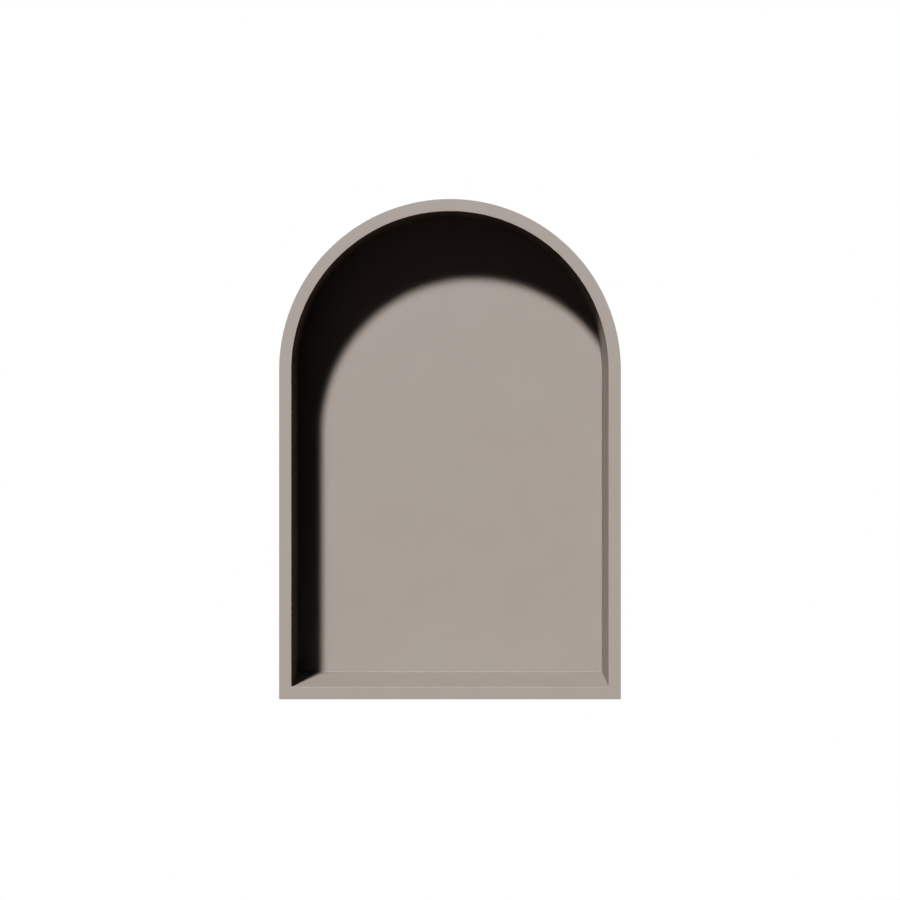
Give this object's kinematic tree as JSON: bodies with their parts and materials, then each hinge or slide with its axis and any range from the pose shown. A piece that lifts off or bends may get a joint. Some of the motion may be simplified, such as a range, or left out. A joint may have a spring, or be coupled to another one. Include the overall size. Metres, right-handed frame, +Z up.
{
  "type": "recessed wall niche",
  "caption": "Round-headed recessed wall niche: an open coated metal box with a flat flange around its mouth, let into a wall to hold or display things.",
  "frame": {"origin": "on the flange's rear face, at the middle of the bare strip below the box, where the niche bears on the wall", "axes": "+X to the right as seen from the room, +Y into the wall, +Z up; the open front faces -Y"},
  "size_m": [0.3284, 0.0909, 0.4808],
  "materials": {
    "coat": "matte, very finely textured coat in warm grey"
  },
  "bodies": {
    "root": {"niche_body": "coat"}
  },
  "joints": []
}
